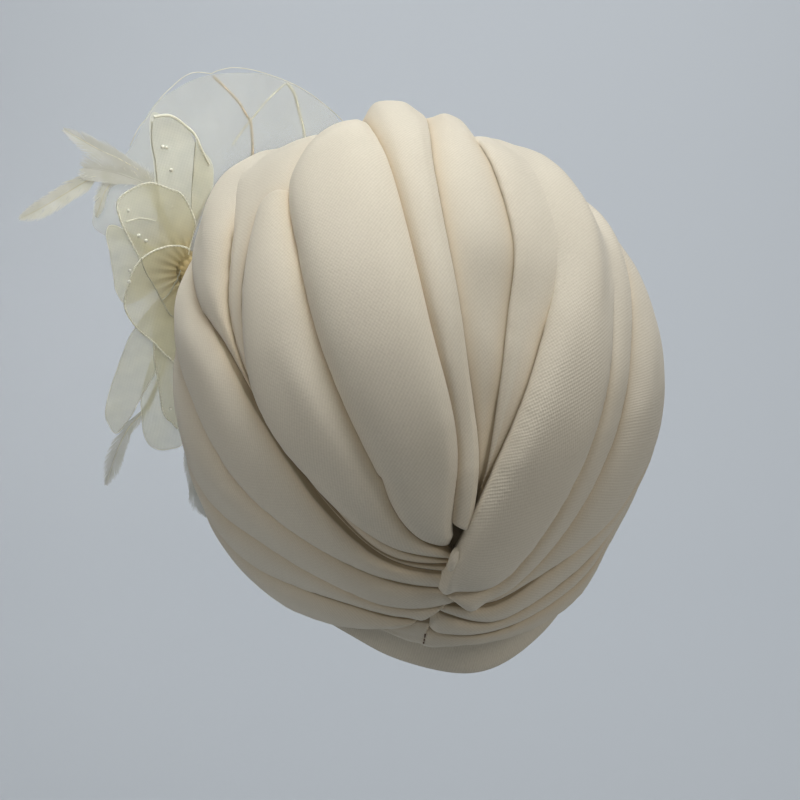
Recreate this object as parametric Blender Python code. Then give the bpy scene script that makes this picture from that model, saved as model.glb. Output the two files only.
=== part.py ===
"""A padded, pleated turban hat with an organza flower, modelled at its real size as a set of closed solids.

Lengths in the tables are millimetres and angles are degrees. The model itself is in metres, +Z up. The back of the
turban faces -Y, the wearer's left is at -X, and the origin is the top of the hollow, where the head's crown bears.
"""

from math import cos, exp, pi, radians, sin, sqrt

import bpy
import numpy as np

MM = 0.001

# The dome is the level of the creases: half-width, half-depth, height over the middle and reach below it
HALF_WIDTH = 101.0
HALF_DEPTH = 116.0
CROWN_RISE = 118.0
LOWER_REACH = 150.0
NAPE_TAPER = 0.9
NAPE_SHIFT = 10.0
CROWN_SHIFT = 0.05
LEAN = 5.0

# The fuller place of the dome, over the left temple
SWELL_HEIGHT = 10.0
SWELL_AT = (-0.62, 0.30, 0.72)
SWELL_SHARPNESS = 7.0

# Wall from the crease level to the hollow, at the crown and at the hem
CROWN_WALL = 10.0
HEM_WALL = 6.0
WALL_GROWS_OVER = 90.0

# The hem of the folds lies near a slanted plane, low at the nape and high over the forehead, and is drawn up at the
# centre-back seam
HEM_LEVEL = -54.0
HEM_SLOPE = 0.64
HEM_LIFT_NAPE = 11.0
HEM_LIFT_FRONT = 6.0
SEAM_LIFT = 12.0
SEAM_SPREAD = 18.0
SEAM_BEARING = 188.0

# The band hangs from behind the hem and shows by this much
BAND_THICKNESS = 2.5
BAND_GAP = 0.95
BAND_TUCK = 6.0
BAND_SHOWN_NAPE = 17.0
BAND_SHOWN_SIDE = 6.0
BAND_SHOWN_FRONT = 12.0
BAND_DOWN = (0.0, 0.15, -1.0)
BAND_SEGMENTS = 64

# The flower's knot in the dome's frame, how far its face turns to the wearer's left, and the dish of its petals
FLOWER_AT = (-109.0, 46.0, 49.4)
FLOWER_TURN = 28.0
FLOWER_DISH = 6.0
DISH_REACH = 80.0
PETAL_ROOT = 8.4
PETAL_THICKNESS = 1.0
FEATHER_THICKNESS = 0.8
FOLD_STAND = 12.0
PETAL_CLEARANCE = 2.0
LAYER_STEP = 0.5

# The knot's radius at places along its facing axis
KNOT_PROFILE = ((-10.0, 4.5), (-8.5, 7.2), (0.0, 7.8), (14.8, 7.8), (17.0, 5.2))
KNOT_SIDES = 18
KNOT_LOBES = 6
KNOT_LOBE = 0.03

# One row per petal: its place along the facing axis, then its outline round the knot as angle and reach. The angle
# is 0 upwards and positive towards the wearer's left
PETALS = (
    # node, out, outline
    (
        "petal_lower",
        -8.0,
        ((57, 23), (67, 26), (79, 29), (93, 32), (107, 36), (124, 37), (143, 38), (156, 42), (165, 42)),
    ),
    (
        "petal_upper",
        -5.5,
        ((-12, 22), (-1, 35), (8, 40), (18, 46), (29, 48), (39, 48), (47, 41), (56, 32), (70, 25), (87, 21), (104, 19))
        + ((129, 20), (149, 23)),
    ),
    ("petal_hanging", -3.0, ((129, 21), (135, 27), (141, 33), (150, 44), (157, 55), (163, 70), (167, 75), (171, 73))),
    ("petal_top", -0.5, ((-24, 46), (-12, 58), (-7, 67), (1, 72), (5, 74), (8, 65), (11, 50), (21, 30))),
    ("petal_backing", 3.0, ((50, 38), (57, 42), (71, 37), (85, 35), (100, 35), (114, 31))),
    ("petal_rolled", 6.8, ((134, 38), (139, 55), (144, 77), (148, 84), (152, 86), (155, 69), (159, 45))),
    ("petal_round", 10.0, ((156, 60), (160, 80), (163, 89), (167, 93), (171, 93), (175, 90), (179, 75))),
    (
        "net_fan",
        14.2,
        ((-109, 52), (-97, 66), (-85, 81), (-72, 98), (-60, 106), (-48, 103), (-40, 100), (-33, 97), (-19, 89))
        + ((-9, 82), (1, 74), (15, 59), (30, 55), (51, 48), (60, 40)),
    ),
)
PETAL_RINGS = 5

# One row per feather: its place along the facing axis, then its middle line as left, up and half-width
FEATHERS = (
    # node, out, middle line
    ("feather_soft", 1.3, ((9, 30, 0.8), (13, 45, 1.5), (24, 55, 3.5), (33, 61, 3.5), (47, 72, 0.6))),
    (
        "feather_long",
        5.0,
        ((8, 28, 0.8), (12, 44, 1.2), (29, 50, 3.0), (38, 48, 4.2), (53, 42, 4.0), (63, 38, 2.6), (72, 35, 0.5)),
    ),
    ("feather_claw", 8.5, ((8, 26, 0.8), (11, 44, 1.2), (24, 45, 2.2), (31, 41, 2.6), (37, 30, 0.5))),
    ("feather_low", 11.9, ((9, -36, 0.8), (22, -65, 1.6), (33, -76, 3.6), (40, -87, 3.8), (47, -104, 0.5))),
)

# What the objects are made of: colour, roughness and alpha
KINDS = {
    "padded_knit": ((0.72, 0.64, 0.50), 0.85, 1.0),
    "knit": ((0.70, 0.62, 0.48), 0.85, 1.0),
    "organza": ((0.78, 0.76, 0.58), 0.5, 0.6),
    "net": ((0.72, 0.74, 0.68), 0.6, 0.35),
    "feather": ((0.83, 0.81, 0.68), 0.8, 1.0),
}

# The folds run from a short upright slit low at the back to the front hem
POLE_TILT = 22.5
POLE_YAW = 3.0
SLIT_SLANT = 0.2
SLIT_GAP = 0.35
FRONT_SHIFT = -8.0

# Where each column of CREASES lies, as the angle from the pole
STATIONS = (15, 30, 50, 70, 88, 104, 118)

# One row per crease, from the left hem over the crown to the right hem: its place along the slit, its angle round
# the pole at each station and its bearing at the front hem. "over" names the fold that lies on top there
CREASES = (
    # name, slit, at_15, at_30, at_50, at_70, at_88, at_104, at_118, front, over
    ("upper_hem_left", -9, -106, -99, -101, -101, -101, -101, -100, -50, "next"),
    ("side_low_left", -5, -95, -90, -89, -92, -92, -91, -90, -42, "next"),
    ("side_mid_left", 5, -72, -74, -74, -71, -73, -75, -76, -35, "next"),
    ("side_top_left", 10, -55, -56, -52, -52, -59, -62, -63, -28, "next"),
    ("temple_split", 12, -53, -54, -51, -50, -52, -52, -49, -22, "next"),
    ("broad_lower", 15, -42, -51, -49, -46, -42, -41, -36, -15, "next"),
    ("broad_upper", 21, -17, -22, -22, -23, -26, -31, -34, -13, "next"),
    ("crown_left", 27, 18, 16, 8, 4, 1, -3, -7, -6, "last"),
    ("groove_left", 31, 27, 26, 18, 13, 11, 11, 11, 1, "last"),
    ("groove_right", 31, 33, 38, 34, 34, 33, 31, 30, 8, "next"),
    ("crown_right", 30, 36, 41, 43, 45, 43, 40, 39, 15, "next"),
    ("shoulder_right", 2, 87, 75, 66, 62, 61, 60, 60, 23, "last"),
    ("side_top_right", -3, 98, 86, 78, 72, 71, 69, 68, 30, "last"),
    ("side_mid_right", -5, 105, 97, 95, 94, 92, 90, 88, 37, "last"),
    ("side_low_right", -9, 122, 108, 102, 100, 98, 96, 95, 44, "last"),
    ("upper_hem_right", -11, 137, 116, 107, 105, 104, 103, 101, 51, "last"),
)

# Bearing of the hem at the slit, at each station, between and at the front
HEM_LEFT = (-171.7, -160, -144, -128, -112, -98, -86, -76, -68, -60)
HEM_RIGHT = (-172.1, -193, -214, -232, -248, -262, -274, -284, -292, -300)

# One row per fold, in the order of the creases: how far its crest stands over the crease level
FOLDS = (
    # name, crest_back, crest_middle, crest_front
    ("hem_left", 6, 11, 7),
    ("low_left", 6, 10, 7),
    ("mid_left", 6, 11, 7),
    ("top_left", 6, 11, 7),
    ("temple", 5, 10, 7),
    ("strip", 5, 9, 7),
    ("broad_left", 7, 14, 7),
    ("broad_crown", 8, 17, 8),
    ("narrow_crown", 7, 14, 8),
    ("groove", 2, 6, 7),
    ("groove_side", 3, 8, 7),
    ("broad_right", 10, 14, 8),
    ("shoulder", 6, 9, 7),
    ("side_right", 6, 9, 7),
    ("mid_right", 5, 7, 6),
    ("low_right", 5, 6, 6),
    ("hem_right", 5, 6, 6),
)
PANELS = (
    # node, first fold, last fold, place along the folds where it starts
    ("left_pleats", "hem_left", "narrow_crown", 0.0),
    ("centre_pleats", "groove", "groove_side", 1.2),
    ("right_pleats", "broad_right", "hem_right", 0.0),
)
FOLD_ROWS = 25
WIDE_FOLD = 11.0
CREASE_DEPTH = 2.5
PANEL_GAP = 0.35
# Places across a fold and their share of its crest, from the edge that lies on top
FOLD_SECTION = ((0.0, -1.0), (0.10, 0.62), (0.42, 1.0), (0.80, 0.66))


def unit(vector):
    vector = np.asarray(vector, float)
    return vector / np.linalg.norm(vector)


def smooth(x):
    """0 to 1 with level ends."""
    x = min(1.0, max(0.0, x))
    return x * x * (3 - 2 * x)


def turned_x(vector, degrees):
    c, s = cos(radians(degrees)), sin(radians(degrees))
    x, y, z = vector
    return np.array((x, c * y - s * z, s * y + c * z))


def turned_z(vector, degrees):
    c, s = cos(radians(degrees)), sin(radians(degrees))
    x, y, z = vector
    return np.array((c * x - s * y, s * x + c * y, z))


def polar(phi, theta):
    """The direction at phi from the pole and theta round it, where 0 is up and positive is to the right."""
    p, t = radians(phi), radians(theta)
    aimed = (sin(p) * sin(t), -cos(p), sin(p) * cos(t))
    return turned_x(turned_z(aimed, POLE_YAW), POLE_TILT)


def narrowed(d):
    """How much the dome narrows towards the nape, as a share of its width."""
    return 1 - NAPE_TAPER * max(0.0, -d[2]) ** 1.5 * max(0.0, -d[1])


def plain_dome(d):
    x, y, z = d
    return np.array((HALF_WIDTH * x * narrowed(d), HALF_DEPTH * y, (CROWN_RISE if z > 0 else LOWER_REACH) * z))


def dome(d, height=0.0):
    """The point of the dome in direction d, raised by height along its normal."""
    point = plain_dome(d)
    normal = unit((d[0] / HALF_WIDTH, d[1] / HALF_DEPTH, d[2] / (CROWN_RISE if d[2] > 0 else LOWER_REACH)))
    swell = SWELL_HEIGHT * max(0.0, float(np.dot(d, unit(SWELL_AT)))) ** SWELL_SHARPNESS
    point = point + normal * (height + swell)
    point[0] += NAPE_SHIFT * (min(0.0, point[2]) / 100) ** 2 - CROWN_SHIFT * max(0.0, point[2])
    return point


def hem_level(y):
    return HEM_LEVEL + HEM_SLOPE * y


def hem_lift(bearing):
    """How far the hem lies above its plane. Bearing 0 is the front."""
    c = cos(radians(bearing))
    from_seam = abs((bearing % 360) - SEAM_BEARING)
    end = HEM_LIFT_FRONT if c > 0 else HEM_LIFT_NAPE
    return end * c**2 + SEAM_LIFT * exp(-((from_seam / SEAM_SPREAD) ** 2))


def hem_direction(bearing, above=0.0):
    """The direction in which the dome meets the hem, or the level that far above it."""
    s, c = sin(radians(bearing)), cos(radians(bearing))
    low, high = 20.0, 200.0
    for _ in range(40):
        r = (low + high) / 2
        x, y = r * s, r * c
        z = hem_level(y) + hem_lift(bearing) + above
        d = np.array((x / HALF_WIDTH, y / HALF_DEPTH, z / (CROWN_RISE if z > 0 else LOWER_REACH)))
        d[0] /= narrowed(unit(d))
        if np.dot(d, d) < 1:
            low = r
        else:
            high = r
    return unit(d)


def band_shown(bearing):
    c = cos(radians(bearing))
    end = BAND_SHOWN_FRONT if c > 0 else BAND_SHOWN_NAPE
    return BAND_SHOWN_SIDE + (end - BAND_SHOWN_SIDE) * c**2


def slit_direction(along, side):
    """A place along the slit, side -1 on its left lip and 1 on its right lip."""
    pole = polar(0, 0)
    x = (SLIT_SLANT * along + side * SLIT_GAP) / HALF_WIDTH
    return unit(pole + np.array((x, 0, along / LOWER_REACH)))


def between(points, t):
    """A smooth curve through the directions, at t from 0 to the number of spans."""
    i = min(int(t), len(points) - 2)
    u = t - i
    a, b, c, d = (points[min(max(j, 0), len(points) - 1)] for j in (i - 1, i, i + 1, i + 2))
    value = 0.5 * (2 * b + (c - a) * u + (2 * a - 5 * b + 4 * c - d) * u**2 + (3 * b - a - 3 * c + d) * u**3)
    return unit(value)


def crease_points(row, side):
    _, slit, *thetas, front, _ = row
    points = [slit_direction(slit, side)]
    points += [polar(phi, theta) for phi, theta in zip(STATIONS, thetas)]
    end = hem_direction(front + FRONT_SHIFT)
    middle = unit(points[-1] + end)
    return points + [middle, end]


def all_creases():
    """The directions along every crease, hems included, with the side of the slit that each ends on."""
    names = [row[0] for row in CREASES]
    turn = names.index("groove_right")
    curves = [[hem_direction(bearing) for bearing in HEM_LEFT]]
    curves += [crease_points(row, -1 if k < turn else 1) for k, row in enumerate(CREASES)]
    return curves + [[hem_direction(bearing) for bearing in HEM_RIGHT]]


SPANS = len(STATIONS) + 2


def crest(fold, t):
    """The crest height of a fold at t along it."""
    _, back, middle, front = fold
    share = t / SPANS
    if share < 0.35:
        return back + (middle - back) * smooth(share / 0.35)
    return middle + (front - middle) * smooth((share - 0.6) / 0.35)


def fold_profile(width, height, over_first, over_last):
    """Places across a fold and heights there, for the first edge up to just before the last."""
    full = height * width / (width + WIDE_FOLD)
    columns = []
    for share, lift in FOLD_SECTION:
        columns.append((share, -CREASE_DEPTH if lift < 0 else lift * full))
    if over_last and not over_first:
        columns = [columns[0]] + [(1 - share, lift) for share, lift in reversed(columns[1:])]
    return columns


def inset_end(columns, end, inner):
    """Draws the column at a panel's side in by half of the gap between panels."""
    (a, height), (b, _) = columns[end], columns[inner]
    share = PANEL_GAP / 2 / max(1.0, float(np.linalg.norm(dome(a) - dome(b))))
    columns[end] = (unit(a + (b - a) * share), height)


def panel_columns(first, last, t):
    """Directions and heights across a panel at t, crease by crease."""
    columns = []
    for k in range(first, last + 1):
        a, b = between(CREASE_CURVES[k], t), between(CREASE_CURVES[k + 1], t)
        width = float(np.linalg.norm(dome(a) - dome(b)))
        profile = fold_profile(width, crest(FOLDS[k], t), OVERS[k] == "next", OVERS[k + 1] == "last")
        columns += [(unit(a + (b - a) * share), height) for share, height in profile]
    columns.append((b, -CREASE_DEPTH))
    inset_end(columns, 0, 1)
    inset_end(columns, -1, -2)
    return columns


def wall_at(d):
    """The wall under the creases, thinner towards the hem."""
    point = plain_dome(d)
    return HEM_WALL + (CROWN_WALL - HEM_WALL) * smooth((point[2] - hem_level(point[1])) / WALL_GROWS_OVER)


def hollow_point(d, inward=0.0):
    return dome(d, -wall_at(d) - inward)


def to_world(point):
    """From the dome's own frame to the model's: leaning, with the origin at the top of the hollow."""
    x, y, z = np.asarray(point) - CROWN_SEAT
    c, s = cos(radians(LEAN)), sin(radians(LEAN))
    return np.array((c * x - s * z, y, s * x + c * z)) * MM


CREASE_CURVES = all_creases()
OVERS = ["next"] + [row[-1] for row in CREASES] + ["last"]
CROWN_SEAT = hollow_point(np.array((0.0, 0.0, 1.0)))


def material(name, kind):
    """A material for one object, of one of the KINDS."""
    colour, roughness, alpha = KINDS[kind]
    made = bpy.data.materials.new(name + "_" + kind)
    made.use_nodes = True
    shader = made.node_tree.nodes["Principled BSDF"]
    shader.inputs["Base Color"].default_value = (*colour, 1.0)
    shader.inputs["Roughness"].default_value = roughness
    shader.inputs["Metallic"].default_value = 0.0
    shader.inputs["Alpha"].default_value = alpha
    return made


def solid(name, points, faces, kind):
    mesh = bpy.data.meshes.new(name)
    mesh.from_pydata([tuple(point) for point in points], [], faces)
    mesh.materials.append(material(name, kind))
    mesh.shade_smooth()
    mesh.set_sharp_from_angle(angle=radians(40))
    obj = bpy.data.objects.new(name, mesh)
    bpy.context.scene.collection.objects.link(obj)
    return obj


def plate(name, front, back, kind):
    """A closed plate between two grids of points of the same size, front seen with its rows going up."""
    rows, cols = len(front), len(front[0])
    points = [point for grid in (front, back) for row in grid for point in row]

    def at(side, r, c):
        return side * rows * cols + r * cols + c

    faces = []
    for r in range(rows - 1):
        for c in range(cols - 1):
            faces.append((at(0, r, c), at(0, r, c + 1), at(0, r + 1, c + 1), at(0, r + 1, c)))
            faces.append((at(1, r, c), at(1, r + 1, c), at(1, r + 1, c + 1), at(1, r, c + 1)))
    edge = [(0, c) for c in range(cols)] + [(r, cols - 1) for r in range(1, rows)]
    edge += [(rows - 1, c) for c in range(cols - 2, -1, -1)] + [(r, 0) for r in range(rows - 2, 0, -1)]
    for (r0, c0), (r1, c1) in zip(edge, edge[1:] + edge[:1]):
        faces.append((at(0, r1, c1), at(0, r0, c0), at(1, r0, c0), at(1, r1, c1)))
    return solid(name, points, faces, kind)


def pleats(name, first, last, start):
    names = [row[0] for row in FOLDS]
    outer, inner = [], []
    for step in range(FOLD_ROWS):
        t = start + (SPANS - start) * step / (FOLD_ROWS - 1)
        columns = panel_columns(names.index(first), names.index(last), t)
        outer.append([to_world(dome(d, height)) for d, height in columns])
        inner.append([to_world(hollow_point(d)) for d, _ in columns])
    return plate(name, outer, inner, "padded_knit")


def rim_band():
    """A plain band round the head opening, its upper edge tucked behind the folds."""
    points, faces = [], []
    rings = (("tuck", 0), ("hem", 0), ("rim", 0), ("rim", 1), ("hem", 1), ("tuck", 1))
    for k in range(BAND_SEGMENTS):
        bearing = 360.0 * k / BAND_SEGMENTS
        for level, inside in rings:
            d = hem_direction(bearing, BAND_TUCK if level == "tuck" else 0.0)
            point = hollow_point(d, BAND_GAP + inside * BAND_THICKNESS)
            if level == "rim":
                point = point + unit(BAND_DOWN) * band_shown(bearing)
            points.append(to_world(point))
    count = len(rings)
    for k in range(BAND_SEGMENTS):
        here, there = k * count, (k + 1) % BAND_SEGMENTS * count
        for j in range(count):
            faces.append((here + j, there + j, there + (j + 1) % count, here + (j + 1) % count))
    return solid("rim_band", points, faces, "knit")


def dome_reach(point):
    """Where a point lies against the dome: under 1 inside it, over 1 outside, with its direction there."""
    x = point[0] - NAPE_SHIFT * (min(0.0, point[2]) / 100) ** 2 + CROWN_SHIFT * max(0.0, point[2])
    d = np.array((x / HALF_WIDTH, point[1] / HALF_DEPTH, point[2] / (CROWN_RISE if point[2] > 0 else LOWER_REACH)))
    return float(np.linalg.norm(d)), unit(d)


def dished(left, up):
    return FLOWER_DISH * (left**2 + up**2) / DISH_REACH**2


def flower_point(left, up, out):
    """From the flower's frame to the dome's: left and up across its face, out along the way that it faces."""
    facing = turned_z((0, 1, 0), FLOWER_TURN)
    aside = np.array((-facing[1], facing[0], 0.0))
    return np.array(FLOWER_AT) + aside * left + np.array((0, 0, 1.0)) * up + facing * out


def off_the_folds(point, clearance):
    """The same point, or the one above it where it would lie in the folds."""
    _, d = dome_reach(point)
    over = dome(d, FOLD_STAND + clearance)
    depth = float(np.dot(over - point, d))
    return point + d * depth if depth > 0 else point


def petal(name, out, outline):
    """A thin plate that spreads from the knot to its outline."""
    outline = sorted(outline)
    front, back = [], []
    for ring in range(PETAL_RINGS):
        share = ring / (PETAL_RINGS - 1)
        front_row, back_row = [], []
        for angle, reach in outline:
            radius = PETAL_ROOT + (reach - PETAL_ROOT) * share
            left, up = radius * sin(radians(angle)), radius * cos(radians(angle))
            for row, side in ((front_row, 1), (back_row, -1)):
                level = out + dished(left, up) + side * PETAL_THICKNESS / 2
                clearance = PETAL_CLEARANCE + (out - PETALS[0][1]) * LAYER_STEP + side * PETAL_THICKNESS / 2
                row.append(to_world(off_the_folds(flower_point(left, up, level), clearance)))
        front.append(front_row)
        back.append(back_row)
    return plate(name, front, back, "net" if name == "net_fan" else "organza")


def feather(name, out, line):
    """A thin curved blade from the knot to its point."""
    root = line[0]
    start = PETAL_ROOT / sqrt(root[0] ** 2 + root[1] ** 2)
    line = ((root[0] * start, root[1] * start, root[2]),) + tuple(line)
    front, back = [], []
    for k, (left, up, half) in enumerate(line):
        before, after = line[max(0, k - 1)], line[min(len(line) - 1, k + 1)]
        along = unit((after[0] - before[0], after[1] - before[1]))
        across = np.array((-along[1], along[0]))
        front_row, back_row = [], []
        for side in (1, 0, -1):
            x, z = np.array((left, up)) + across * half * side
            for row, face in ((front_row, 1), (back_row, -1)):
                thick = FEATHER_THICKNESS / 2 if side == 0 else FEATHER_THICKNESS / 4
                row.append(to_world(flower_point(x, z, out + dished(x, z) + face * thick)))
        front.append(front_row)
        back.append(back_row)
    return plate(name, front, back, "feather")


def knot():
    """The gathered knot of the flower, turned about its facing axis with a few soft lobes."""
    points, faces = [], []
    for out, reach in KNOT_PROFILE:
        for k in range(KNOT_SIDES):
            turn = 2 * pi * k / KNOT_SIDES
            lobed = reach * (1 + KNOT_LOBE * cos(KNOT_LOBES * turn))
            points.append(to_world(flower_point(lobed * cos(turn), lobed * sin(turn), out)))
    for r in range(len(KNOT_PROFILE) - 1):
        for k in range(KNOT_SIDES):
            a, b = r * KNOT_SIDES + k, r * KNOT_SIDES + (k + 1) % KNOT_SIDES
            faces.append((a, b, b + KNOT_SIDES, a + KNOT_SIDES))
    faces.append(tuple(range(KNOT_SIDES - 1, -1, -1)))
    faces.append(tuple(range(len(points) - KNOT_SIDES, len(points))))
    return solid("flower_core", points, faces, "organza")


def main():
    for obj in list(bpy.data.objects):
        bpy.data.objects.remove(obj)
    for name, first, last, start in PANELS:
        pleats(name, first, last, start)
    rim_band()
    knot()
    for name, out, outline in PETALS:
        petal(name, out, outline)
    for name, out, line in FEATHERS:
        feather(name, out, line)


main()
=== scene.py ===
"""Looks of the padded, pleated turban hat with its organza flower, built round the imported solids.

Lengths in the tables are millimetres and angles are degrees, as in part.py. The scene itself is in metres,
+Z up, with the back of the turban at -Y and the wearer's left at -X.
"""

from math import atan2, cos, exp, inf, pi, radians, sin, sqrt
from random import Random

import bmesh
import bpy
import numpy as np
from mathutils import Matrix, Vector, noise


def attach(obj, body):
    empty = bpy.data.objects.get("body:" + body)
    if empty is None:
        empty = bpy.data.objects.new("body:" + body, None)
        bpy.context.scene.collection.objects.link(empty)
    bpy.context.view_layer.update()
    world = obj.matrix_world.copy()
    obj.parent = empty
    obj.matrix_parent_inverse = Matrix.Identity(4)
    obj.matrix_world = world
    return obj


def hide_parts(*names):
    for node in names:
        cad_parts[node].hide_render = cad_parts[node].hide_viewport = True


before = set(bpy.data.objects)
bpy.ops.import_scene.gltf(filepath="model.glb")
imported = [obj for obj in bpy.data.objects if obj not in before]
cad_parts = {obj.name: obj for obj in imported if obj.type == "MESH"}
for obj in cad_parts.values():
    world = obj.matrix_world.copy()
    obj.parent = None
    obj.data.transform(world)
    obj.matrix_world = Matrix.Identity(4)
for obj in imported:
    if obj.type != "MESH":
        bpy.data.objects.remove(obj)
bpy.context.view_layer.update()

MM = 0.001

# The dome is the level of the creases: half-width, half-depth, height over the middle and reach below it
HALF_WIDTH = 101.0
HALF_DEPTH = 116.0
CROWN_RISE = 118.0
LOWER_REACH = 150.0
NAPE_TAPER = 0.9
NAPE_SHIFT = 10.0
CROWN_SHIFT = 0.05
LEAN = 5.0
SWELL_HEIGHT = 10.0
SWELL_AT = (-0.62, 0.30, 0.72)
SWELL_SHARPNESS = 7.0
CROWN_WALL = 10.0
HEM_WALL = 6.0
WALL_GROWS_OVER = 90.0

# Where the padding sags, or swells where negative: how deep, and where round the pole with its reach each way
SAGS = (
    # depth, theta, reach, phi, reach
    (7.0, -26, 11.5, 130, 22),
    (6.5, -10.5, 7.0, 130, 24),
    (2.5, 12, 4.5, 128, 24),
    (4.5, 29, 5.5, 128, 24),
    (2.0, 40, 6.0, 125, 24),
    (5.0, 52, 7.5, 118, 24),
    (7.0, 29, 12.0, 46, 21),
    (3.0, -57, 9.0, 103, 20),
    (10.0, 118, 17.0, 78, 26),
    (-5.0, -110, 20.0, 72, 22),
)

# The hem of the folds, and the band that hangs from behind it
HEM_LEVEL = -54.0
HEM_SLOPE = 0.64
HEM_LIFT_NAPE = 11.0
HEM_LIFT_FRONT = 6.0
SEAM_LIFT = 12.0
SEAM_SPREAD = 18.0
SEAM_BEARING = 188.0
BAND_THICKNESS = 2.5
BAND_GAP = 0.95
BAND_TUCK = 6.0
BAND_SHOWN_NAPE = 17.0
BAND_SHOWN_SIDE = 6.0
BAND_SHOWN_FRONT = 12.0
BAND_DOWN = (0.0, 0.15, -1.0)
BAND_SEGMENTS = 288
BAND_STEP = 2.0
# The rings of the band's section: how far down as a share of what shows, and its side, 0 outside and 1 inside
BAND_RINGS = (
    *((-1, 0), (-0.4, 0), (0, 0), (0.25, 0), (0.5, 0), (0.75, 0), (0.93, 0.04), (0.985, 0.2), (1, 0.5)),
    *((0.985, 0.8), (0.93, 0.96), (0.6, 1), (0.3, 1), (0, 1), (-1, 1)),
)

# The folds run from a short upright slit low at the back to the front hem
POLE_TILT = 22.5
POLE_YAW = 3.0
SLIT_SLANT = 0.2
FRONT_SHIFT = -8.0
STATIONS = (15, 30, 50, 70, 88, 104, 118)

# One row per crease, from the left hem over the crown to the right hem: its place along and beside the slit,
# its angle round the pole at each station and its bearing at the front hem. "over" names the fold on top
CREASES = (
    # name, slit, beside, at_15, at_30, at_50, at_70, at_88, at_104, at_118, front, over
    ("upper_hem_left", -12, -9, -106, -99, -101, -101, -101, -101, -100, -50, "next"),
    ("side_low_left", -2, 5, -95, -90, -89, -92, -92, -91, -90, -42, "next"),
    ("side_mid_left", 7.5, -1.5, -72, -74, -74, -71, -73, -75, -76, -35, "next"),
    ("side_top_left", 14, 3, -56, -55, -51, -51, -57, -61, -63, -28, "next"),
    ("temple_split", 17.5, 4, -52, -53, -50, -46, -38.5, -37, -37, -20, "next"),
    ("broad_lower", 20, 4, -42, -50, -48, -38.5, -28.5, -26, -24, -16, "next"),
    ("broad_upper", 24, 2.5, -17, -21, -21.5, -20.8, -20.3, -13.5, -14, -10, "next"),
    ("crown_left", 27, 3.5, 20, 17, 8, 4, 1, -3, -7, -6, "last"),
    ("groove_left", 30, 10, 39, 28, 18, 13, 11, 11, 11, 1, "last"),
    ("groove_right", 30, 11, 40, 37, 33.5, 31.5, 27.5, 25, 25.5, 7, "next"),
    ("crown_right", 22, 4, 37, 41, 42, 42, 38, 35, 35, 14, "next"),
    ("shoulder_right", 9, -3, 86, 75, 65, 59, 57.5, 57, 57, 23, "last"),
    ("side_top_right", 2, 3, 99, 87, 76, 68, 65.5, 65, 65, 30, "last"),
    ("side_mid_right", -3, 3, 105, 96, 95, 94, 92, 90, 88, 37, "last"),
    ("side_low_right", -5, -4, 120, 107, 102, 100, 98, 96, 95, 44, "last"),
    ("upper_hem_right", -19, -7, 132, 114, 107, 105, 104, 103, 101, 51, "last"),
)
SPANS = len(STATIONS) + 2
HEM_LEFT = (-171.7, -160, -144, -128, -112, -98, -86, -76, -68, -60)
HEM_RIGHT = (-172.1, -193, -214, -232, -248, -262, -274, -284, -292, -300)

# Where a crease swings out between its stations: how far along the slit, where on the fold and over how long
SWINGS = (
    # crease, along, at, spread
    ("side_top_right", -5.5, 0.48, 0.25),
    ("shoulder_right", -3.0, 0.20, 0.14),
    ("broad_upper", 3.0, 1.55, 0.10),
)

# Where a crease closes up into one smooth surface along the fold, and how deep the soft valley left there is
CLOSED = (
    # crease, from, to, valley
    ("temple_split", 4.9, 6.5, 0.08),
    ("groove_right", 5.9, 6.7, 0.50),
    ("crown_right", 3.3, 4.35, 0.12),
    ("shoulder_right", 3.2, 4.6, 0.14),
)
CLOSED_REACH = 4.0
CLOSED_DIP = 0.08
CALM_REACH = 7.0

# How far the folds' own lower edge is drawn up over the band, as pairs of a bearing and millimetres
DRAWN_UP = (
    *((95, 0.0), (120, 4.0), (140, 7.5), (158, 10.0), (168, 12.5), (176, 13.0), (184, 10.0)),
    *((190, 11.0), (197, 16.0), (204, 16.0), (211, 12.0), (218, 8.0), (230, 3.0), (245, 0.0)),
)

# The lowest left fold ends in a tip at the slit, and a small flap of the same cloth fills the corner under it
FLAP_TIP = (-14.5, -13.0)
FLAP_END = 1.75
FLAP_CURVE = 2.0

# The blunt end of the broad left fold: where along the folds it closes, and over how long
BLUNT_END = 4.99
BLUNT_SPAN = 0.24
PASSING_SPAN = 1.5
BLUNT_WIDTH = 26.0
BLUNT_EDGE = 8
BLUNT_CORNER = 2.6
# How far round the lobe's edge the painted shadow on the strip stays at its darkest, in millimetres
LOBE_SHADE = 3.7

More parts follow.
